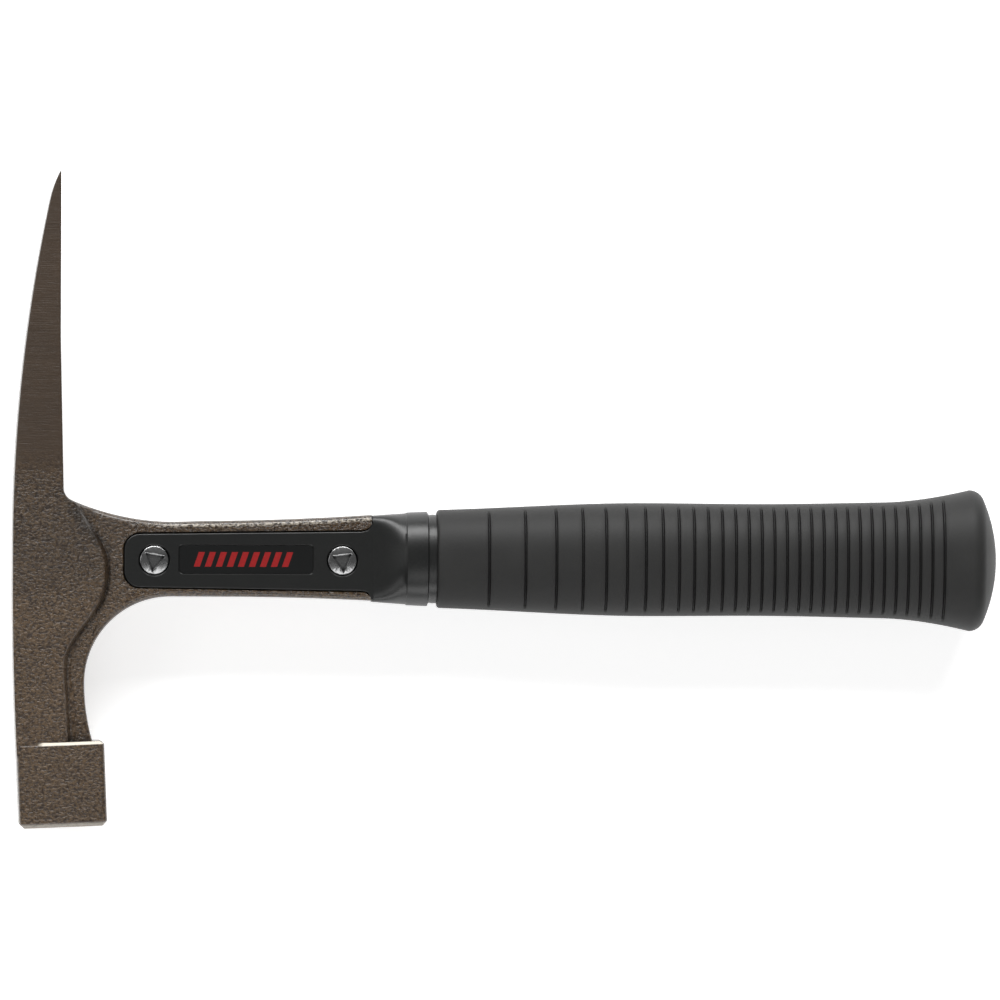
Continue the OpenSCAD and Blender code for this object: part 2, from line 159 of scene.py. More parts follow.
def round_edges(piece, width_of, segments=3):
    """Rounds the edges to which width_of(middle, edge) gives a width in millimetres."""
    only(piece)
    mesh = bmesh.new()
    mesh.from_mesh(piece.data)
    layer = mesh.edges.layers.float.new("bevel_weight_edge")
    widths = {}
    for edge in mesh.edges:
        if len(edge.link_faces) == 2 and edge.calc_face_angle(0) > math.radians(20):
            middle = design((edge.verts[0].co + edge.verts[1].co) / 2)
            widths[edge.index] = width_of(middle, edge)
    widest = max(widths.values())
    for index, width in widths.items():
        mesh.edges.ensure_lookup_table()
        mesh.edges[index][layer] = width / widest
    mesh.to_mesh(piece.data)
    mesh.free()
    bevel = piece.modifiers.new("rounded", "BEVEL")
    bevel.limit_method = "WEIGHT"
    bevel.width = widest * MM
    bevel.segments = segments
    bevel.use_clamp_overlap = False
    bevel.miter_outer = "MITER_ARC"
    bpy.ops.object.modifier_apply(modifier=bevel.name)


def smooth(piece, angle=35, weighted=True):
    only(piece)
    bpy.ops.object.shade_smooth_by_angle(angle=math.radians(angle))
    if weighted:
        even = piece.modifiers.new("even", "WEIGHTED_NORMAL")
        even.keep_sharp = True
        bpy.ops.object.modifier_apply(modifier=even.name)


def outlined(name, outline, low, high):
    """A straight-sided solid over an outline, between two heights."""
    bpy.ops.object.select_all(action="DESELECT")
    bpy.ops.mesh.primitive_plane_add(size=1 * MM, location=place(*outline[0], low))
    piece = bpy.context.active_object
    piece.name = name
    bpy.ops.object.transform_apply(location=True, rotation=True, scale=True)
    bpy.ops.object.mode_set(mode="EDIT")
    bpy.ops.mesh.select_mode(type="VERT")
    bpy.ops.mesh.select_all(action="SELECT")
    bpy.ops.mesh.merge(type="CENTER")
    for (ax, ay), (bx, by) in zip(outline, outline[1:]):
        bpy.ops.mesh.extrude_region_move(
            TRANSFORM_OT_translate={"value": ((bx - ax) * MM, (by - ay) * MM, 0)})
    bpy.ops.mesh.select_all(action="SELECT")
    bpy.ops.mesh.edge_face_add()
    bpy.ops.mesh.extrude_region_move(TRANSFORM_OT_translate={"value": (0, 0, (high - low) * MM)})
    bpy.ops.mesh.select_all(action="SELECT")
    bpy.ops.mesh.normals_make_consistent(inside=False)
    bpy.ops.object.mode_set(mode="OBJECT")
    return piece


def subtract(piece, cutter):
    """Takes the cutter's shape out of the piece."""
    only(piece)
    cut = piece.modifiers.new("cut", "BOOLEAN")
    cut.object = cutter
    cut.operation = "DIFFERENCE"
    bpy.ops.object.modifier_apply(modifier=cut.name)
    bpy.data.objects.remove(cutter)


def widen_top(piece, middle, height, by):
    """Adds a flared rim on top of a cutter, so that the cut has a sloping lip."""
    only(piece)
    bpy.ops.object.mode_set(mode="EDIT")
    select_where(piece, "faces", lambda f: f.normal.z > 0.9)
    bpy.ops.mesh.extrude_region_move(TRANSFORM_OT_translate={"value": (0, 0, height * MM)})
    size = [max(design(v.co)[i] for v in piece.data.vertices) - middle[i] for i in (0, 1)]
    bpy.ops.transform.resize(value=(1 + by / size[0], 1 + by / size[1], 1),
        center_override=place(*middle))
    bpy.ops.object.mode_set(mode="OBJECT")


def mirror_to_far(piece):
    """Turns a piece made for the near side into one for the far side."""
    only(piece)
    bpy.ops.object.mode_set(mode="EDIT")
    bpy.ops.mesh.select_all(action="SELECT")
    bpy.ops.transform.mirror(constraint_axis=(False, False, True), center_override=origin)
    bpy.ops.mesh.normals_make_consistent(inside=False)
    bpy.ops.object.mode_set(mode="OBJECT")


def join(first, *others):
    """Joins parts into the first one, which loses the CAD's materials."""
    only(first)
    for part in others:
        part.select_set(True)
    bpy.ops.object.join()
    first.data.materials.clear()


# ---- Materials ----

def linear(hex_colour):
    """A colour for a shader from its sRGB hex value."""
    parts = [int(hex_colour[i:i + 2], 16) / 255 for i in (1, 3, 5)]
    return (*[c / 12.92 if c <= 0.04045 else ((c + 0.055) / 1.055) ** 2.4 for c in parts], 1)


def feed(tree, node, inputs):
    """Gives a node's inputs plain values, or links them to other nodes' sockets."""
    for key, value in inputs.items():
        if isinstance(value, bpy.types.NodeSocket):
            tree.links.new(value, node.inputs[key])
        else:
            node.inputs[key].default_value = value


def add(tree, kind, inputs=None, **settings):
    """Adds a node with its settings and its inputs."""
    node = tree.nodes.new(kind)
    for key, value in settings.items():
        setattr(node, key, value)
    feed(tree, node, inputs or {})
    return node


def new_material(name):
    """An empty material with its shader, and the design coordinates in millimetres."""
    material = bpy.data.materials.new(name)
    material.use_nodes = True
    tree = material.node_tree
    tree.nodes.clear()
    shader = add(tree, "ShaderNodeBsdfPrincipled")
    add(tree, "ShaderNodeOutputMaterial", {"Surface": shader.outputs["BSDF"]})
    coordinates = add(tree, "ShaderNodeTexCoord")
    shift = [-c / MM for c in origin]
    in_mm = add(tree, "ShaderNodeMapping", {"Vector": coordinates.outputs["Object"],
        "Location": shift, "Scale": (1 / MM, 1 / MM, 1 / MM)})
    return material, tree, shader, in_mm.outputs["Vector"]


def forged_steel():
    """Forged steel under brown-grey lacquer. The lacquer follows the hammer scale in small soft
    dimples that glint. The pick was ground across before the lacquer, so it has fine streaks."""
    material, tree, shader, at = new_material("lacquered_forged_steel")
    axes = add(tree, "ShaderNodeSeparateXYZ", {0: at})
    x, y = axes.outputs["X"], axes.outputs["Y"]
    off_middle = add(tree, "ShaderNodeMath", {0: axes.outputs["Z"]}, operation="ABSOLUTE").outputs[0]
    # Height along the block, which leans
    along = add(tree, "ShaderNodeMath", {0: x, 1: -math.sin(math.radians(block_tilt)), 2: y},
        operation="MULTIPLY_ADD").outputs[0]

    # Where each finish lies: 1 on the ground pick, and 1 on the ground striking face
    pick = add(tree, "ShaderNodeMapRange", {"Value": y, "From Min": 19, "From Max": 36},
        interpolation_type="SMOOTHSTEP").outputs["Result"]
    face = add(tree, "ShaderNodeMapRange", {"Value": along, "From Min": -79.6, "From Max": -80.4},
        interpolation_type="SMOOTHSTEP").outputs["Result"]

    # Dimples 0.8 mm across, on a coarser skin of pits
    ripple = add(tree, "ShaderNodeMapping", {"Vector": at, "Scale": (0.8, 1.15, 1.0)}).outputs[0]
    dimples = add(tree, "ShaderNodeTexNoise", {"Vector": ripple, "Scale": 1.3, "Detail": 2.5,
        "Roughness": 0.55, "Distortion": 0.45}).outputs["Fac"]
    pits = add(tree, "ShaderNodeTexVoronoi", {"Vector": at, "Scale": 0.75, "Smoothness": 0.7},
        feature="SMOOTH_F1").outputs["Distance"]
    # Grinding streaks run across the pick: 0.4 mm apart and several millimetres long
    across = add(tree, "ShaderNodeMapping", {"Vector": at, "Scale": (0.12, 2.6, 1.2)}).outputs[0]
    streaks = add(tree, "ShaderNodeTexNoise", {"Vector": across, "Scale": 1.0, "Detail": 3.0,
        "Roughness": 0.65}).outputs["Fac"]
    # Slow waves left by the grinding belt, 3 mm long
    long_way = add(tree, "ShaderNodeMapping", {"Vector": at, "Scale": (0.05, 0.3, 0.1)}).outputs[0]
    waves = add(tree, "ShaderNodeTexNoise", {"Vector": long_way, "Scale": 1.0,
        "Detail": 1.0}).outputs["Fac"]
    # Broad patches where the lacquer ran thicker
    patches = add(tree, "ShaderNodeTexNoise", {"Vector": at, "Scale": 0.06, "Detail": 3.0,
        "Roughness": 0.6}).outputs["Fac"]

    # Painted shade and light: the dimples' hollows are coloured darker and their crests lighter,
    # deepening the bumps' relief
    crests = add(tree, "ShaderNodeMapRange", {"Value": dimples, "From Min": 0.38,
        "From Max": 0.62}).outputs[0]
    hammered = add(tree, "ShaderNodeMix", {0: crests, 6: linear("#251a10"), 7: linear("#4d3d2b")},
        data_type="RGBA").outputs[2]
    ground = add(tree, "ShaderNodeMix", {0: streaks, 6: linear("#2d2115"), 7: linear("#403020")},
        data_type="RGBA").outputs[2]
    lacquer = add(tree, "ShaderNodeMix", {0: pick, 6: hammered, 7: ground},
        data_type="RGBA").outputs[2]

    # How light the lacquer is: in random patches, and lighter towards the block, which is painted
    # light from the fill lamp on that side
    patchy = add(tree, "ShaderNodeMapRange", {"Value": patches, "From Min": 0.3, "From Max": 0.7,
        "To Min": 0.9, "To Max": 1.1}).outputs["Result"]
    painted_fill_light = add(tree, "ShaderNodeMapRange", {"Value": y, "From Min": -4, "From Max": -14,
        "To Min": 1.0, "To Max": 1.38}).outputs["Result"]
    # Painted shade: darker in the inner corners, found by ambient occlusion
    corner = add(tree, "ShaderNodeAmbientOcclusion", {"Distance": 3.5 * MM}, samples=8).outputs["AO"]
    painted_corner_shade = add(tree, "ShaderNodeMapRange", {"Value": corner, "From Min": 0.5, "From Max": 0.92,
        "To Min": 0.22, "To Max": 1.0}).outputs["Result"]
    # Painted shade in the slanting cove from the pick's root to the pocket, whose line is
    # 0.79 x + 0.61 y = 23.5. The mask is 0 in the cove and 1 outside it.
    slanted = add(tree, "ShaderNodeMath", {0: x, 1: 0.79, 2: -23.5},
        operation="MULTIPLY_ADD").outputs[0]
    slanted = add(tree, "ShaderNodeMath", {0: y, 1: 0.61, 2: slanted},
        operation="MULTIPLY_ADD").outputs[0]
    slanted = add(tree, "ShaderNodeMath", {0: slanted}, operation="ABSOLUTE").outputs[0]
    cove_shade_mask = add(tree, "ShaderNodeMapRange", {"Value": slanted, "From Min": 0.4, "From Max": 2.8},
        interpolation_type="SMOOTHSTEP").outputs["Result"]
    cove_shade_front = add(tree, "ShaderNodeMapRange", {"Value": x, "From Min": 14, "From Max": 19,
        "To Min": 1.0, "To Max": 0.0}).outputs["Result"]
    cove_shade_low = add(tree, "ShaderNodeMapRange", {"Value": y, "From Min": 6,
        "From Max": 0}).outputs["Result"]
    for end in (cove_shade_front, cove_shade_low):
        cove_shade_mask = add(tree, "ShaderNodeMath", {0: cove_shade_mask, 1: end}, operation="MAXIMUM").outputs[0]
    painted_cove_shade = add(tree, "ShaderNodeMapRange", {"Value": cove_shade_mask, "To Min": 0.42,
        "To Max": 1.0}).outputs["Result"]
    amount = patchy
    for share in (painted_fill_light, painted_corner_shade, painted_cove_shade):
        amount = add(tree, "ShaderNodeMath", {0: amount, 1: share}, operation="MULTIPLY").outputs[0]
    shade = add(tree, "ShaderNodeVectorMath", {0: lacquer, "Scale": amount},
        operation="SCALE").outputs[0]
    shade = add(tree, "ShaderNodeMix", {0: face, 6: shade, 7: linear("#a39a8e")},
        data_type="RGBA").outputs[2]

    # Painted highlight along the edge of the block's shoulder, where its chamfer faces the key lamp,
    # from 8 mm back to its rear edge
    glint_low = add(tree, "ShaderNodeMapRange", {"Value": along, "From Min": -56.75,
        "From Max": -56.5}).outputs[0]
    glint_high = add(tree, "ShaderNodeMapRange", {"Value": along, "From Min": -55.6,
        "From Max": -55.75}).outputs[0]
    glint_back = add(tree, "ShaderNodeMapRange", {"Value": x, "From Min": 7.5,
        "From Max": 9.5}).outputs[0]
    glint_side = add(tree, "ShaderNodeMapRange", {"Value": off_middle, "From Min": 12.0,
        "From Max": 12.2}).outputs[0]
    painted_glint = glint_low
    for limit in (glint_high, glint_back, glint_side):
        painted_glint = add(tree, "ShaderNodeMath", {0: painted_glint, 1: limit}, operation="MULTIPLY").outputs[0]
    # Painted highlight: glinting beads along the top rail's rounded edge, 1.3 mm below its curved
    # upper outline
    bow = add(tree, "ShaderNodeMath", {0: x, 1: neck_top_x}, operation="SUBTRACT").outputs[0]
    bow = add(tree, "ShaderNodeMath", {0: bow, 1: 2.0}, operation="POWER").outputs[0]
    level = add(tree, "ShaderNodeMath", {0: bow, 1: -0.5 / neck_top_r, 2: y},
        operation="MULTIPLY_ADD").outputs[0]
    level = add(tree, "ShaderNodeMath", {0: level, 1: neck_top_y - 1.3},
        operation="SUBTRACT").outputs[0]
    level = add(tree, "ShaderNodeMath", {0: level}, operation="ABSOLUTE").outputs[0]
    line = add(tree, "ShaderNodeMapRange", {"Value": level, "From Min": 0.65,
        "From Max": 0.2}).outputs[0]
    line_front = add(tree, "ShaderNodeMapRange", {"Value": x, "From Min": 37,
        "From Max": 50}).outputs[0]
    beads = add(tree, "ShaderNodeMapRange", {"Value": dimples, "From Min": 0.42, "From Max": 0.6,
        "To Max": 0.42}).outputs[0]
    for limit in (line_front, beads):
        line = add(tree, "ShaderNodeMath", {0: line, 1: limit}, operation="MULTIPLY").outputs[0]
    painted_glint = add(tree, "ShaderNodeMath", {0: painted_glint, 1: line}, operation="MAXIMUM").outputs[0]
    # The painted highlight's colour, near white, for the shoulder and the rail
    colour = add(tree, "ShaderNodeMix", {0: painted_glint, 6: shade, 7: linear("#f0e8d8")},
        data_type="RGBA").outputs[2]

    skin = add(tree, "ShaderNodeMath", {0: pits, 1: 0.5, 2: dimples},
        operation="MULTIPLY_ADD").outputs[0]
    grinding = add(tree, "ShaderNodeMath", {0: waves, 1: 1.2, 2: streaks},
        operation="MULTIPLY_ADD").outputs[0]
    grinding = add(tree, "ShaderNodeMath", {0: grinding, 1: 0.28}, operation="MULTIPLY").outputs[0]
    height = add(tree, "ShaderNodeMix", {0: pick, 2: skin, 3: grinding},
        data_type="FLOAT").outputs[0]
    bump = add(tree, "ShaderNodeBump", {"Height": height, "Strength": 1.0, "Distance": 0.46 * MM})
    # Hands have polished the rails beside the handle plates
    polished = add(tree, "ShaderNodeMapRange", {"Value": x, "From Min": 30, "From Max": 38,
        "To Min": 0.36, "To Max": 0.19}).outputs["Result"]
    rough = add(tree, "ShaderNodeMix", {0: pick, 2: polished, 3: 0.5}, data_type="FLOAT")
    feed(tree, shader, {"Base Color": colour, "Roughness": rough.outputs[0],
        "Normal": bump.outputs["Normal"], "Metallic": 0.0, "Coat Weight": 0.6,
        "Coat Roughness": 0.14})
    return material


def nylon():
    """Glass-filled nylon, moulded: near black, half matt, with a fine spark-eroded grain."""
    material, tree, shader, at = new_material("moulded_glass_filled_nylon")
    grain = add(tree, "ShaderNodeTexNoise", {"Vector": at, "Scale": 2.2, "Detail": 2.0,
        "Roughness": 0.6}).outputs["Fac"]
    cloud = add(tree, "ShaderNodeTexNoise", {"Vector": at, "Scale": 0.12,
        "Detail": 2.0}).outputs["Fac"]
    colour = add(tree, "ShaderNodeMix", {0: cloud, 6: linear("#121313"), 7: linear("#191a19")},
        data_type="RGBA").outputs[2]
    bump = add(tree, "ShaderNodeBump", {"Height": grain, "Strength": 1.0, "Distance": 0.02 * MM})
    rough = add(tree, "ShaderNodeMapRange", {"Value": grain, "To Min": 0.3, "To Max": 0.42})
    feed(tree, shader, {"Base Color": colour, "Roughness": rough.outputs["Result"],
        "Normal": bump.outputs["Normal"], "IOR": 1.53})
    return material


def rubber():
    """Vulcanised rubber, moulded: black-grey, soft to the light, with a faint bloom and grain."""
    material, tree, shader, at = new_material("moulded_vulcanised_rubber")
    grain = add(tree, "ShaderNodeTexNoise", {"Vector": at, "Scale": 1.8, "Detail": 3.0,
        "Roughness": 0.6}).outputs["Fac"]
    bloom = add(tree, "ShaderNodeTexNoise", {"Vector": at, "Scale": 0.09,
        "Detail": 3.0}).outputs["Fac"]
    colour = add(tree, "ShaderNodeMix", {0: bloom, 6: linear("#222222"), 7: linear("#2d2d2c")},
        data_type="RGBA").outputs[2]
    # Painted shade: the grooves are darkened to black at the bottom, found by ambient occlusion
    depth = add(tree, "ShaderNodeAmbientOcclusion", {"Distance": 1.5 * MM}, samples=8).outputs["AO"]
    painted_hollow_shade = add(tree, "ShaderNodeMapRange", {"Value": depth, "From Min": 0.35, "From Max": 0.8,
        "To Min": 0.3, "To Max": 1.0}).outputs["Result"]
    colour = add(tree, "ShaderNodeVectorMath", {0: colour, "Scale": painted_hollow_shade},
        operation="SCALE").outputs[0]
    bump = add(tree, "ShaderNodeBump", {"Height": grain, "Strength": 1.0, "Distance": 0.035 * MM})
    rough = add(tree, "ShaderNodeMapRange", {"Value": bloom, "To Min": 0.52, "To Max": 0.64})
    feed(tree, shader, {"Base Color": colour, "Roughness": rough.outputs["Result"],
        "Normal": bump.outputs["Normal"], "IOR": 1.52, "Specular IOR Level": 0.3})
    return material


def zinc():
    """Bright zinc plate on turned steel: silvery, with fine scratches."""
    material, tree, shader, at = new_material("bright_zinc_plated_steel")
    scratches = add(tree, "ShaderNodeTexNoise", {"Vector": at, "Scale": 1.6, "Detail": 4.0,
        "Roughness": 0.7}).outputs["Fac"]
    colour = add(tree, "ShaderNodeMix", {0: scratches, 6: linear("#a9aaac"), 7: linear("#d9d9d8")},
        data_type="RGBA").outputs[2]
    # Painted shade at the bottom of the three-cornered recess, found by ambient occlusion
    depth = add(tree, "ShaderNodeAmbientOcclusion", {"Distance": 1.2 * MM}, samples=8).outputs["AO"]
    painted_hollow_shade = add(tree, "ShaderNodeMapRange", {"Value": depth, "From Min": 0.45, "From Max": 0.85,
        "To Min": 0.1, "To Max": 1.0}).outputs["Result"]
    colour = add(tree, "ShaderNodeVectorMath", {0: colour, "Scale": painted_hollow_shade},
        operation="SCALE").outputs[0]
    bump = add(tree, "ShaderNodeBump", {"Height": scratches, "Strength": 1.0,
        "Distance": 0.006 * MM})
    rough = add(tree, "ShaderNodeMapRange", {"Value": scratches, "To Min": 0.18, "To Max": 0.28})
    feed(tree, shader, {"Base Color": colour, "Roughness": rough.outputs["Result"],
        "Normal": bump.outputs["Normal"], "Metallic": 1.0})
    return material


def spring_steel():
    """Rolled spring steel, oiled: dark grey with fine lines along the pin."""
    material, tree, shader, at = new_material("rolled_spring_steel")
    stretched = add(tree, "ShaderNodeMapping", {"Vector": at, "Scale": (3.0, 3.0, 0.3)}).outputs[0]
    lines = add(tree, "ShaderNodeTexNoise", {"Vector": stretched, "Scale": 1.0,
        "Detail": 3.0}).outputs["Fac"]
    colour = add(tree, "ShaderNodeMix", {0: lines, 6: linear("#6f6f6d"), 7: linear("#8f8f8b")},
        data_type="RGBA").outputs[2]
    rough = add(tree, "ShaderNodeMapRange", {"Value": lines, "To Min": 0.3, "To Max": 0.42})
    feed(tree, shader, {"Base Color": colour, "Roughness": rough.outputs["Result"],
        "Metallic": 1.0})
    return material


def printed_label(front, back, middle):
    """Printed vinyl label, under a glossy film: charcoal with a plain row of slanted red bars."""
    material, tree, shader, at = new_material("printed_vinyl_label")
    axes = add(tree, "ShaderNodeSeparateXYZ", {0: at})
    slant = add(tree, "ShaderNodeMath", {0: axes.outputs["Y"], 1: -0.35, 2: axes.outputs["X"]},
        operation="MULTIPLY_ADD").outputs[0]
    bar_pitch, bar_share, bar_h = 3.3, 0.58, 4.4
    turn = add(tree, "ShaderNodeMath", {0: slant, 1: front}, operation="SUBTRACT").outputs[0]
    turn = add(tree, "ShaderNodeMath", {0: turn, 1: bar_pitch}, operation="DIVIDE").outputs[0]
    saw = add(tree, "ShaderNodeMath", {0: turn}, operation="FRACT").outputs[0]
    bar = add(tree, "ShaderNodeMapRange", {"Value": saw, "From Min": bar_share,
        "From Max": bar_share - 0.05}).outputs["Result"]
    after = add(tree, "ShaderNodeMath", {0: slant, 1: front}, operation="GREATER_THAN").outputs[0]
    before = add(tree, "ShaderNodeMath", {0: slant, 1: back}, operation="LESS_THAN").outputs[0]
    off = add(tree, "ShaderNodeMath", {0: axes.outputs["Y"], 1: middle},
        operation="SUBTRACT").outputs[0]
    off = add(tree, "ShaderNodeMath", {0: off}, operation="ABSOLUTE").outputs[0]
    inside = add(tree, "ShaderNodeMath", {0: off, 1: bar_h / 2}, operation="LESS_THAN").outputs[0]
    mask = bar
    for part in (after, before, inside):
        mask = add(tree, "ShaderNodeMath", {0: mask, 1: part}, operation="MULTIPLY").outputs[0]
    mottle = add(tree, "ShaderNodeTexNoise", {"Vector": at, "Scale": 1.4,
        "Detail": 2.0}).outputs["Fac"]
    red = add(tree, "ShaderNodeMix", {0: mottle, 6: linear("#82191b"), 7: linear("#9c2424")},
        data_type="RGBA").outputs[2]
    dark = add(tree, "ShaderNodeMix", {0: mottle, 6: linear("#0f1010"), 7: linear("#151616")},
        data_type="RGBA").outputs[2]
    colour = add(tree, "ShaderNodeMix", {0: mask, 6: dark, 7: red}, data_type="RGBA").outputs[2]
    bump = add(tree, "ShaderNodeBump", {"Height": mottle, "Strength": 1.0, "Distance": 0.008 * MM})
    feed(tree, shader, {"Base Color": colour, "Normal": bump.outputs["Normal"], "Roughness": 0.3})
    return material


# ---- Head ----

# All in millimetres from the design origin. The pick: its reach, where its front starts to curve
# to the tip, its rear face, how far back the front has come by then, and the thickness of its edge.
pick_reach, tip_y, inner_x, tip_start_x, edge_t = 115.59, 107.2, 14.2, 10.9, 0.3
front_y = 3.6  # where the front of the pick is furthest forward
front_arc_r = (tip_start_x ** 2 + (tip_y - front_y) ** 2) / (2 * tip_start_x)
# The front of the lower body, which is a wide arc too
lower_y, lower_arc_r = -5, 1050
# The fillet and arc between the pick and the neck's top
root_x, root_y, root_r = 19.2, 20.95, 4
shoulder_x, shoulder_y, shoulder_r = 48.5, 88.9, 78
# The throat between the neck's underside and the block, and the waist's back below it
throat_x, throat_y, throat_r = 47.4, -37.3, 25.8
back_x, back_r = 83.83, 62.23
# The neck's top and underside bow slightly outwards, from these places back to the rails' end
neck_top_x, neck_top_y, neck_top_r = 48.5, 11.15, 860
neck_low_x, neck_low_y, neck_low_r = 62, -11.5, 940
rails_end = 107.4
# The block: its size, its middle, its lean in degrees, and where the waist ends inside it
block_d, block_h, block_w, block_tilt = 26.3, 25.4, 26, 2.4
block_middle = (14.9, -80.5 + block_h / 2, 0)
block_join = -59.1
# The step between the raised body and the neck, from the pick down to the block
step_corners = [(17.5, 130), (16.9, 40), (17, 17), (27.3, 3.2), (28.2, -5), (27.4, -9.8),
    (25.2, -15), (15.8, -26.9), (15.4, -35), (16, -42.5), (17, -61)]
head_half_w, neck_half_w = 13, 8.5


def arc(cx, cy, r, start, end, steps):
    """Points on an arc between two angles in degrees."""
    return [(cx + r * math.cos(math.radians(start + (end - start) * i / steps)),
        cy + r * math.sin(math.radians(start + (end - start) * i / steps))) for i in range(steps + 1)]


def bowed(top, r, offset):
    """How far an arc has fallen away from its highest place at an offset from it."""
    return top - r + math.sqrt(r ** 2 - offset ** 2)


def head_outline():
    """Outline of the head's front: the tip, front, block's join, throat, neck, root and back."""
    points = [(inner_x, pick_reach), (inner_x - edge_t, pick_reach)]
    # The tip is ground in a slight curve that starts along the pick's own
    tip_l, tip_slope = pick_reach - tip_y, (tip_y - front_y) / front_arc_r
    tip_bend = (inner_x - edge_t - tip_start_x - tip_slope * tip_l) / tip_l ** 2
    for i in range(5, 0, -1):
        d = tip_l * i / 6
        points.append((tip_start_x + tip_slope * d + tip_bend * d * d, tip_y + d))
    for i in range(47):
        y = tip_y + (front_y - tip_y) * i / 46
        points.append((-bowed(0, front_arc_r, y - front_y), y))
    for i in range(17):
        y = lower_y + (block_join - lower_y) * i / 16
        points.append((-bowed(0, lower_arc_r, y - lower_y), y))
    for i in range(10):
        y = block_join + (throat_y - 1.2 - block_join) * i / 9
        points.append((back_x - math.sqrt(back_r ** 2 - (y - throat_y) ** 2), y))
    points += arc(throat_x, throat_y, throat_r, 180, 90, 26)
    # The neck grows a little towards the handle
    for i in range(1, 9):
        x = neck_low_x + (rails_end - neck_low_x) * i / 8
        points.append((x, bowed(neck_low_y, neck_low_r, x - neck_low_x)))
    for i in range(8):
        x = rails_end + (neck_top_x - rails_end) * i / 8
        points.append((x, -bowed(-neck_top_y, neck_top_r, x - neck_top_x)))
    meet = math.degrees(math.atan2(shoulder_y - root_y, shoulder_x - root_x))
    points += arc(shoulder_x, shoulder_y, shoulder_r, 270, 180 + meet, 24)
    points += arc(root_x, root_y, root_r, 180 + meet, 180, 8)[1:]
    points += [(root_x - root_r - i / 12, root_y + (66 - root_y) * i / 12) for i in range(1, 13)]
    points += [(inner_x, y) for y in (74, 82, 90, 98, 106)]
    # A hair inside the design outline at the front
    return [(max(px, 0.015), py) for px, py in points]


def rounded_line(corners, times=4):
    """The line with its corners cut again and again until they are round."""
    points = list(corners)
    for _ in range(times):
        cut = [points[0]]
        for (ax, ay), (bx, by) in zip(points, points[1:]):
            cut += [(ax * 0.75 + bx * 0.25, ay * 0.75 + by * 0.25),
                (ax * 0.25 + bx * 0.75, ay * 0.25 + by * 0.75)]
        points = cut + [points[-1]]
    return np.array(points)


step_line = rounded_line(step_corners)


def step_distance(at):
    """Distances of points from the step between body and neck: above zero on the body."""
    start, end = step_line[:-1], step_line[1:]
    along = end - start
    length = (along ** 2).sum(1)
    offset = at[:, None, :] - start[None]
    t = np.clip((offset * along).sum(2) / length, 0, 1)
    gap = offset - t[..., None] * along
    far = np.sqrt((gap ** 2).sum(2))
    nearest = far.argmin(1)
    rows = np.arange(len(at))
    side = along[nearest, 0] * offset[rows, nearest, 1] - along[nearest, 1] * offset[rows, nearest, 0]
    return far[rows, nearest] * np.where(side < 0, 1, -1)


def half_width(at):
    """Half width of the head: the falling cheek, the cove below the step, the flat neck."""
    x, y = at[:, 0], at[:, 1]
    # The cheek falls 1.4 mm over 17 mm towards the neck, and 2 mm along the pick
    fall = 1.4 * np.clip(x, 0, None) / 17
    taper = 2 * np.clip(y - root_y, 0, None) / (pick_reach - root_y)
    cheek = head_half_w - (fall ** 4 + taper ** 4) ** 0.25
    # The step is soft by the pick's root, crisp beside the pocket, and a long cove along the waist:
    # its width, steepness and rounding at some heights, and the depth of its crease
    heights = [-60, -34, -24, -14, 0, 6, 14, 22]
    width = np.interp(y, heights, [4.4, 4.4, 3.2, 1.7, 1.7, 2.4, 4.2, 4.2])
    power = np.interp(y, heights, [2.8, 2.8, 2.5, 2.0, 2.0, 1.8, 1.5, 1.5])
    blend = np.interp(y, heights, [0.1, 0.1, 0.1, 0.12, 0.14, 0.2, 0.4, 0.4])
    u = np.clip((step_distance(at) + width - 0.35) / width, 0, 3)
    rise = u ** power
    # Smooth minimum of the rise and 1 rounds the top edge
    mixed = np.clip(0.5 + 0.5 * (1 - rise) / blend, 0, 1)
    share = 1 + (rise - 1) * mixed - blend * mixed * (1 - mixed)
    share = np.clip(share, 0, 1)
    # A fine crease that the die left just below the step
    crease_depth = np.interp(y, heights, [0.6, 0.75, 0.75, 0.7, 0.55, 0.45, 0.15, 0])
    crease = crease_depth * np.exp(-((step_distance(at) + 0.75) / 0.42) ** 2)
    return neck_half_w + (cheek - neck_half_w) * share - crease


def outline_edge(middle, edge):
    """Width of the rounding along the outline of the head's front."""
    x, y, z = middle
    if abs(z) < 12 or x > rails_end - 0.05 or y < block_join + 0.1:
        return 0.0
    if y > tip_y:
        return 0.1
    if x < 10 and y < 100 or x < 6:
        return 0.45
    if y > 19:
        return 0.5
    if y > 0:
        return 0.7 if x < 19 else 0.7 + 1.0 * min(1, (x - 19) / 7)
    return 1.7 if x > 24 else 1.2


def by_the_step(face):
    """Whether a cheek's face is within 4.2 mm of the middle of the step."""
    if abs(face.normal.z) < 0.9:
        return False
    p = design(face.calc_center_median())
    return abs(float(step_distance(np.array([[p.x, p.y]]))[0] + 1.2)) < 4.2


def head_front():
    """Pick, body, waist and rails: a plate that is gridded, and then given its real thickness."""
    piece = outlined("forged_head", head_outline(), -head_half_w, head_half_w)
    round_edges(piece, outline_edge, segments=4)
    # A grid of 1.2 mm over the cheeks
    bpy.ops.object.mode_set(mode="EDIT")
    grid = 1.2
    cuts = [((x, 0, 0), (1, 0, 0)) for x in (*np.arange(1.0, 34, grid), *np.arange(40, 107, 6))]
    cuts += [((0, y, 0), (0, 1, 0)) for y in np.arange(block_join + 1, pick_reach - 1, grid)]
    for point, normal in cuts:
        bpy.ops.mesh.select_all(action="SELECT")
        bpy.ops.mesh.bisect(plane_co=place(*point), plane_no=normal)
    # Finer by the step
    select_where(piece, "faces", by_the_step)
    bpy.ops.mesh.subdivide(number_cuts=3)
    bpy.ops.object.mode_set(mode="OBJECT")
    points = np.array([design(v.co) for v in piece.data.vertices])
    drop = head_half_w - half_width(points[:, :2])
    for vertex, p, fall in zip(piece.data.vertices, points, drop):
        if abs(p[2]) > 5:
            vertex.co.z -= math.copysign(fall * MM, p[2])
    return piece


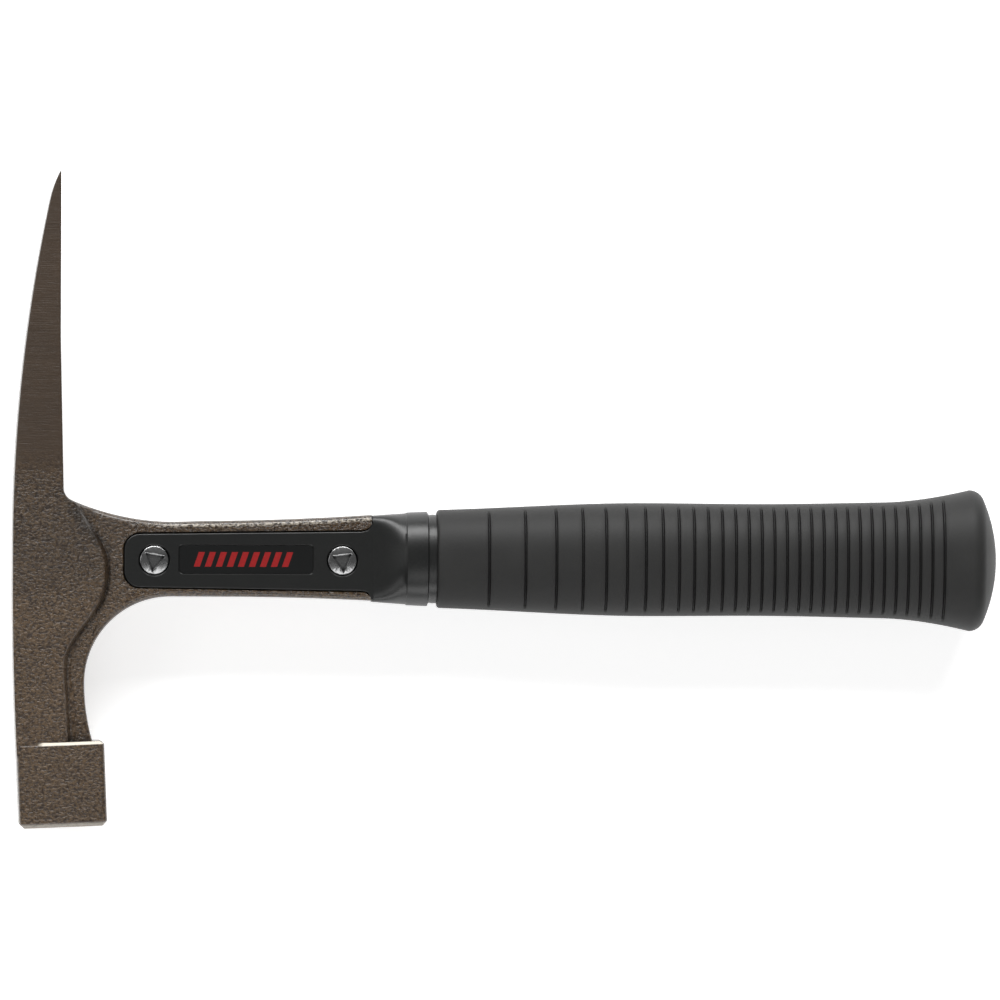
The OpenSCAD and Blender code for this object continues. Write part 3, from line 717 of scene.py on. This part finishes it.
def striking_block():
    """A forged block with rounded upright corners and chamfers at the face and the shoulder."""
    corner_r, face_chamfer, shoulder_chamfer, soft_edge = 1.6, 1.4, 0.9, 0.22
    by_face = block_middle[1] - block_h / 2 + 0.1
    by_shoulder = block_middle[1] + block_h / 2 - 0.1
    bpy.ops.object.select_all(action="DESELECT")
    bpy.ops.mesh.primitive_cube_add(size=1, location=place(*block_middle),
        scale=(block_d * MM, block_h * MM, block_w * MM))
    piece = bpy.context.active_object
    piece.name = "striking_block"
    bpy.ops.object.transform_apply(location=True, rotation=True, scale=True)
    bpy.ops.object.mode_set(mode="EDIT")
    for wanted, width, segments in (
            (lambda e: abs((e.verts[0].co - e.verts[1].co).normalized().y) > 0.99, corner_r, 5),
            (lambda e: all(design(v.co).y < by_face for v in e.verts), face_chamfer, 1),
            (lambda e: all(design(v.co).y > by_shoulder for v in e.verts), shoulder_chamfer, 1)):
        select_where(piece, "edges", wanted)
        bpy.ops.mesh.bevel(offset=width * MM, segments=segments, affect="EDGES")
    select_where(piece, "edges", lambda e: e.calc_face_angle(0) > math.radians(30))
    bpy.ops.mesh.bevel(offset=soft_edge * MM, segments=2, affect="EDGES")
    bpy.ops.mesh.select_all(action="SELECT")
    bpy.ops.transform.rotate(value=-math.radians(block_tilt), orient_axis="Z",
        center_override=place(*block_middle))
    bpy.ops.object.mode_set(mode="OBJECT")
    return piece


# The pocket for the handle's plate, which grows towards the rails' end and has rounded corners
pocket_front, pocket_up, pocket_down, pocket_r = 33.1, 7.6, 9.1, 5
pocket_growth, mouth_r = 0.87, 2.8
pocket_floor, pocket_lip_z, pocket_lip = 3, 8.22, 0.4


def pocket_nose(gap):
    """The pocket's two rounded front corners, moved inwards by a gap."""
    x, r = pocket_front + pocket_r, pocket_r - gap
    return (arc(x, pocket_up - gap - r, r, 90, 180, 10)
        + arc(x, r - (pocket_down - gap), r, 180, 270, 10))


def pocket_outline():
    """Outline of the pocket, which runs on past the rails' end and the rails' rounded corners."""
    past_x, past_y, mouth_x = 110, 3.7, rails_end - mouth_r
    points = pocket_nose(0)
    points += arc(mouth_x, -pocket_down - pocket_growth - mouth_r, mouth_r, 90, 0, 7)
    points += [(past_x, -pocket_down - past_y), (past_x, pocket_up + past_y)]
    points += arc(mouth_x, pocket_up + pocket_growth + mouth_r, mouth_r, 0, -90, 7)
    return points


head = head_front()
for side in ("near", "far"):
    pocket = outlined("pocket", pocket_outline(), pocket_floor, pocket_lip_z)
    widen_top(pocket, (70, 0, 0), pocket_lip, pocket_lip)
    only(pocket)
    bpy.ops.object.mode_set(mode="EDIT")
    select_where(pocket, "faces", lambda f: f.normal.z > 0.9)
    bpy.ops.mesh.extrude_region_move(TRANSFORM_OT_translate={"value": (0, 0, 6 * MM)})
    bpy.ops.object.mode_set(mode="OBJECT")
    if side == "far":
        mirror_to_far(pocket)
    subtract(head, pocket)
rear = cleaned_copy("hammer_head", "tang", whole_faces=False)
cut_away(rear, rails_end + 0.05, False)
block = striking_block()
smooth(head, 40, weighted=False)
smooth(rear, 35)
smooth(block, 30)
join(head, rear, block)
head.data.materials.append(forged_steel())
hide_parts("hammer_head")

# ---- Handle halves ----

nylon_finish = nylon()

section_power = 2.35  # the oval section is between an ellipse and a box
# Where the ramp starts, where the collar starts and ends, and the grip's front
ramp_x, collar_x, collar_end, grip_front = 107.7, 117.9, 124.5, design(grip_low).x
cheek_z, plate_gap = 8.3, 0.3
screw_places = [design((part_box(n)[0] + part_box(n)[1]) / 2) for n in ("front_screw", "rear_screw")]
label_low, label_high = [design(corner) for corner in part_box("near_label")]


def plate_outline():
    """Outline of the plate between the rails, a gap smaller than the pocket."""
    mouth = [(104.4, 0.87), (106.2, 1.35), (107.4, 3.2), (ramp_x + 0.3, 3.6)]
    up, down = pocket_up - plate_gap, pocket_down - plate_gap
    return (pocket_nose(plate_gap) + [(x, -down - growth) for x, growth in mouth]
        + [(x, up + growth) for x, growth in reversed(mouth)])


def plate():
    """The near half's plate: soft edges, two counterbores and the label's recess."""
    rim, bore_r, bore_depth, bore_lip = 0.45, 4.65, 3.4, 0.25
    piece = outlined("plate", plate_outline(), pocket_floor, cheek_z)
    round_edges(piece, lambda m, e: rim if m.z > cheek_z - 0.1 and m.x < 107.5 else 0.0)
    for p in screw_places:
        bpy.ops.mesh.primitive_cylinder_add(vertices=64, radius=bore_r * MM, depth=bore_depth * MM,
            location=place(p.x, p.y, cheek_z - bore_lip - bore_depth / 2))
        cutter = bpy.context.active_object
        bpy.ops.object.transform_apply(location=True, rotation=True, scale=True)
        widen_top(cutter, (p.x, p.y, 0), 0.5, 0.5)
        subtract(piece, cutter)
    gap, r = 0.15, 1.4
    low_x, high_x = label_low.x - gap, label_high.x + gap
    low_y, high_y = label_low.y - gap, label_high.y + gap
    corners = (arc(high_x - r, high_y - r, r, 0, 90, 6) + arc(low_x + r, high_y - r, r, 90, 180, 6)
        + arc(low_x + r, low_y + r, r, 180, 270, 6) + arc(high_x - r, low_y + r, r, 270, 360, 6))
    recess = outlined("recess", corners, cheek_z - 0.7, cheek_z - 0.22)
    widen_top(recess, ((low_x + high_x) / 2, (low_y + high_y) / 2, 0), 0.44, 0.44)
    subtract(piece, recess)
    return piece


def section(x, up, wide, power, turn):
    """A point of an oval or box-like section, turned from the top of the cheek."""
    y, z = math.sin(turn), math.cos(turn)
    return place(x, up * math.copysign(abs(y) ** (2 / power), y),
        wide * math.copysign(abs(z) ** (2 / power), z))


def sleeve(name, rings, steps=128):
    """A closed solid grown from a circle, ring by ring: x, half height, half width and power."""
    bpy.ops.object.select_all(action="DESELECT")
    bpy.ops.mesh.primitive_circle_add(vertices=steps, radius=0.01, fill_type="NGON",
        location=place(rings[0][0], 0, 0), rotation=(0, math.pi / 2, 0))
    piece = bpy.context.active_object
    piece.name = name
    bpy.ops.object.transform_apply(location=True, rotation=True, scale=True)
    bpy.ops.object.mode_set(mode="EDIT")
    bpy.ops.mesh.select_mode(type="FACE")
    bpy.ops.mesh.select_all(action="SELECT")
    for before, after in zip(rings, rings[1:]):
        bpy.ops.mesh.extrude_region_move(
            TRANSFORM_OT_translate={"value": ((after[0] - before[0]) * MM, 0, 0)})
    bpy.ops.object.mode_set(mode="OBJECT")
    places = [ring[0] for ring in rings]
    for vertex in piece.data.vertices:
        p = design(vertex.co)
        ring = rings[min(range(len(rings)), key=lambda i: abs(places[i] - p.x))]
        vertex.co = section(*ring, math.atan2(p.y, p.z))
    only(piece)
    bpy.ops.object.mode_set(mode="EDIT")
    bpy.ops.mesh.select_all(action="SELECT")
    bpy.ops.mesh.normals_make_consistent(inside=False)
    bpy.ops.object.mode_set(mode="OBJECT")
    return piece


def collar_rings():
    """The swelling from the flat plate to the oval collar, the collar and its groove."""
    rings = []
    for i in range(17):
        t = i / 16
        x = ramp_x + (collar_x - 0.05 - ramp_x) * t
        power = 10 - (10 - section_power) * ease(t) ** 0.6
        rings.append((x, 12.95 + 0.75 * t, cheek_z + 2.85 * t ** 1.7, power))
    for dx, up in ((0.0, 0.06), (0.12, 0.2), (0.3, 0.26)):
        rings.append((collar_x + dx, 13.68 + up, 11.15 + up, section_power))
    # The collar's rear edge, the groove behind it, and the root that the rubber covers
    rings += [(x, up, wide, section_power) for x, up, wide in (
        (collar_end - 0.45, 14.2, 11.66), (collar_end - 0.2, 14.13, 11.6),
        (collar_end - 0.05, 13.9, 11.4), (collar_end, 13.6, 11.1),
        (collar_end + 0.1, 13.36, 10.9), (collar_end + 0.5, 13.2, 10.78),
        (collar_end + 1.3, 13.36, 10.92), (grip_front - 0.5, 13.3, 10.86),
        (grip_front + 0.6, 13.0, 10.6))]
    return rings


for side, sign in (("near", 1), ("far", -1)):
    half = plate()
    half.name = f"{side}_nylon_half"
    if side == "far":
        mirror_to_far(half)
    core = cleaned_copy(f"{side}_handle_half", f"{side}_core")
    cut_away(core, grip_front + 0.2, False)
    collar = sleeve(f"{side}_collar", collar_rings())
    only(collar)
    bpy.ops.object.mode_set(mode="EDIT")
    bpy.ops.mesh.select_all(action="SELECT")
    bpy.ops.mesh.bisect(plane_co=origin, plane_no=(0, 0, sign), use_fill=True,
        clear_inner=True)
    bpy.ops.object.mode_set(mode="OBJECT")
    # Room for the tang
    bpy.ops.mesh.primitive_cube_add(size=1, location=place(118, 0, 0),
        scale=(40 * MM, 16.2 * MM, 6.1 * MM))
    subtract(collar, bpy.context.active_object)
    for part in (half, collar, core):
        smooth(part, 32, weighted=part is not collar)
    join(half, collar, core)
    half.data.materials.append(nylon_finish)
    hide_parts(f"{side}_handle_half")
    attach(half, "root")

# ---- Rubber grip ----

overall_l = design(grip_high).x
butt_r = (grip_high.y - grip_low.y) / 2 / MM
butt_l, butt_corner, flare_l, flare_share, flare_power = 8.1, 4.5, 25.4, 0.78, 1.8
front_r, belly_r, waist_r, oval = 14.55, 16.98, 16.8, 0.8186
butt_x = overall_l - butt_l
belly_x = grip_front + 0.39 * (butt_x - grip_front)
waist_x = grip_front + 0.59 * (butt_x - grip_front)
groove_start, groove_stop, groove_pitch, groove_spread, groove_ratio = 15.4, 7, 3.58, 7.28, 0.776
groove_w, groove_d = 0.85, 0.9


def grip_r(x):
    """Half height of the grip at x."""
    return (front_r + (belly_r - front_r) * ease((x - grip_front + 12) / (belly_x - grip_front + 12))
        + (waist_r - belly_r) * ease((x - belly_x) / (waist_x - belly_x))
        + (butt_r - waist_r) * (1 - flare_share) * ease((x - waist_x) / (butt_x - waist_x))
        + (butt_r - waist_r) * flare_share * max(0, 1 - (butt_x - x) / flare_l) ** flare_power)


def groove_at(i):
    return (grip_front + groove_start + i * groove_pitch
        + groove_spread * (1 - groove_ratio ** i) / (1 - groove_ratio))


grooves = []
while groove_at(len(grooves)) < butt_x - groove_stop:
    grooves.append(groove_at(len(grooves)))

# Profile of the outside, from the front lip to the pole: (x, half height)
lip, reach = 1.0, 0.72  # the rounded front lip, and how far the stations of a groove reach
profile = [(grip_front, front_r - 2.6), (grip_front, front_r - 1.4)]
lip_x, lip_r = grip_front + lip, grip_r(grip_front + lip) - lip
profile += [(lip_x - lip * math.cos(a), lip_r + lip * math.sin(a))
    for a in [math.radians(d) for d in (0, 22, 45, 68, 90)]]
stations = [lip_x + (grooves[0] - lip_x) * i / 9 for i in range(1, 9)]
for i, x in enumerate(grooves):
    stations += [x + s * groove_w for s in (-reach, -0.52, -0.4, -0.2, 0, 0.2, 0.4, 0.52, reach)]
    gap = (grooves[i + 1] if i + 1 < len(grooves) else butt_x) - x
    pieces = max(1, round(gap / 3))
    stations += [x + reach + (gap - 2 * reach) * (j + 0.5) / pieces for j in range(pieces)]
profile += [(x, grip_r(x)) for x in stations]
profile += [(butt_x + butt_corner * math.sin(a), butt_r - butt_corner + butt_corner * math.cos(a))
    for a in [math.radians(d) for d in range(0, 73, 12)]]
dome_x, dome_r = profile[-1]
profile += [(dome_x + (overall_l - 0.02 - dome_x) * (1 - t * t), dome_r * t)
    for t in (0.88, 0.76, 0.64, 0.52, 0.4, 0.28, 0.16, 0.07, 0)]
# The bore that the core fills, back from the front lip
core_end = overall_l - 12.5
bore = [(core_end, 0), (core_end, 13.3), (grip_front, 11.75)]


def rubber_grip():
    bpy.ops.object.select_all(action="DESELECT")
    first = place(profile[0][0], profile[0][1], 0)
    bpy.ops.mesh.primitive_plane_add(size=1 * MM, location=first)
    piece = bpy.context.active_object
    piece.name = "moulded_grip"
    bpy.ops.object.transform_apply(location=True, rotation=True, scale=True)
    bpy.ops.object.mode_set(mode="EDIT")
    bpy.ops.mesh.select_mode(type="VERT")
    bpy.ops.mesh.select_all(action="SELECT")
    bpy.ops.mesh.merge(type="CENTER")
    for (ax, ar), (bx, br) in zip(profile, profile[1:]):
        bpy.ops.mesh.extrude_region_move(
            TRANSFORM_OT_translate={"value": ((bx - ax) * MM, (br - ar) * MM, 0)})
    # Back to the front lip for the bore
    bpy.ops.mesh.select_all(action="DESELECT")
    mesh = bmesh.from_edit_mesh(piece.data)
    mesh.verts.ensure_lookup_table()
    start = min(mesh.verts, key=lambda v: (v.co - first).length)
    start.select_set(True)
    mesh.select_flush(True)
    bmesh.update_edit_mesh(piece.data)
    where = profile[0]
    for x, r in reversed(bore):
        bpy.ops.mesh.extrude_region_move(
            TRANSFORM_OT_translate={"value": ((x - where[0]) * MM, (r - where[1]) * MM, 0)})
        where = (x, r)
    bpy.ops.mesh.select_all(action="SELECT")
    bpy.ops.mesh.spin(steps=144, angle=math.tau, center=origin, axis=(1, 0, 0))
    bpy.ops.mesh.select_all(action="SELECT")
    bpy.ops.mesh.remove_doubles(threshold=0.004 * MM)
    bpy.ops.mesh.normals_make_consistent(inside=False)
    bpy.ops.object.mode_set(mode="OBJECT")
    # The round section becomes the oval of the real grip
    for vertex in piece.data.vertices:
        p = design(vertex.co)
        r = math.hypot(p.y, p.z)
        if r > 1e-6:
            y, z = p.y / r, p.z / r
            y = math.copysign(abs(y) ** (2 / section_power), y)
            z = math.copysign(abs(z) ** (2 / section_power), z)
            vertex.co = place(p.x, r * y, r * oval * z)
    return piece


def press_grooves(piece):
    """Presses the grooves into both cheeks, with rounded ends short of the spines."""
    # A groove's depth by how far off its middle a vertex is, in tenths of its width
    shares = {0: 1.0, 2: 0.93, 4: 0.5, 5: 0.12}
    bore_share, widest, cheek_share, fade = 0.78, 0.65, 0.895, 0.04
    moves, normals = {}, [v.normal.copy() for v in piece.data.vertices]
    for vertex in piece.data.vertices:
        p = design(vertex.co)
        if abs(p.z) < 1 or not grooves[0] - 1 < p.x < grooves[-1] + 1:
            continue
        r = grip_r(p.x)
        if math.hypot(p.y, p.z) < r * bore_share:
            continue  # the bore
        off = min(abs(p.x - g) for g in grooves) / groove_w
        if off > widest:
            continue
        end = 1 - ease((abs(p.y) / r - cheek_share) / fade)
        moves[vertex.index] = shares.get(round(off * 10), 0.0) * end * groove_d
    for index, depth in moves.items():
        vertex = piece.data.vertices[index]
        vertex.co -= normals[index] * depth * MM


grip = rubber_grip()
press_grooves(grip)
smooth(grip, 40, weighted=False)
grip.data.materials.append(rubber())
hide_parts("rubber_grip")

# ---- Labels, screws, barrel nuts and pin ----

bars_from, bars_to = label_low.x + 5.1, label_high.x - 6.0
label_finish = printed_label(bars_from, bars_to, (label_low.y + label_high.y) / 2)
zinc_finish = zinc()
label_edge, screw_edge = 0.08, 0.22


for side in ("near", "far"):
    label = cleaned_copy(f"{side}_label", f"{side}_printed_label")
    round_edges(label, lambda m, e: label_edge, segments=2)
    smooth(label, 35)
    label.data.materials.append(label_finish)
    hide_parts(f"{side}_label")
    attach(label, "root")

for name in ("front_screw", "rear_screw", "front_barrel_nut", "rear_barrel_nut"):
    fastener = cleaned_copy(name, f"plated_{name}")
    round_edges(fastener, lambda m, e: screw_edge, segments=2)
    smooth(fastener, 35)
    fastener.data.materials.append(zinc_finish)
    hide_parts(name)
    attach(fastener, "root")

pin = frame["nodes"]["tang_pin"]
pin.data.materials.clear()
pin.data.materials.append(spring_steel())

for piece in (head, grip):
    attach(piece, "root")

# ---- Floor, light and camera ----

bpy.ops.object.select_all(action="DESELECT")
bpy.ops.mesh.primitive_plane_add(size=8, location=(0, 0, cad_box[0].z - 0.02 * MM))
floor = bpy.context.active_object
floor.name = "floor"
board, tree, shader, at = new_material("matt_white_board")
fibres = add(tree, "ShaderNodeTexNoise", {"Vector": at, "Scale": 0.4, "Detail": 2.0}).outputs["Fac"]
paper = add(tree, "ShaderNodeMix", {0: fibres, 6: linear("#f4f4f4"), 7: linear("#fafafa")},
    data_type="RGBA").outputs[2]
# The board glows a little, which keeps the shadows pale
feed(tree, shader, {"Base Color": paper, "Roughness": 0.9, "Specular IOR Level": 0.1,
    "Emission Color": linear("#ffffff"), "Emission Strength": 0.6})
floor.data.materials.append(board)

middle = (cad_box[0] + cad_box[1]) / 2


def soft_light(name, where, size, power):
    """A square soft light, in metres and watts, that faces the hammer."""
    data = bpy.data.lights.new(name, "AREA")
    data.shape = "RECTANGLE"
    data.size, data.size_y = size
    data.energy = power
    lamp = bpy.data.objects.new(name, data)
    bpy.context.scene.collection.objects.link(lamp)
    lamp.location = middle + Vector(where)
    lamp.rotation_euler = (-Vector(where)).to_track_quat("-Z", "Y").to_euler()
    return lamp


soft_light("key_softbox", (-0.1, 1.55, 1.15), (2.6, 0.8), 60)
soft_light("overhead_softbox", (0.05, -1.0, 2.0), (2.2, 0.7), 8)
soft_light("fill_softbox", (0.1, -1.7, 0.8), (2.6, 0.7), 16)
soft_light("left_softbox", (-1.7, 0.2, 1.0), (0.6, 1.6), 3)

world = bpy.data.worlds.new("studio")
world.use_nodes = True
world.node_tree.nodes["Background"].inputs["Color"].default_value = linear("#ffffff")
world.node_tree.nodes["Background"].inputs["Strength"].default_value = 0.07
bpy.context.scene.world = world
bpy.context.scene.view_settings.view_transform = "Standard"

camera_data = bpy.data.cameras.new("camera")
camera_data.sensor_width = 36
camera_data.lens = 480
camera = bpy.data.objects.new("camera", camera_data)
bpy.context.scene.collection.objects.link(camera)
target = Vector((middle.x - 1.5 * MM, middle.y - 0.3 * MM, origin.z))
distance, lean, roll = 4.0, math.radians(3), math.radians(0.2)
camera.location = target + Vector((-math.sin(lean), 0, math.cos(lean))) * distance
camera.rotation_euler = (0, -lean, roll)
bpy.context.scene.camera = camera
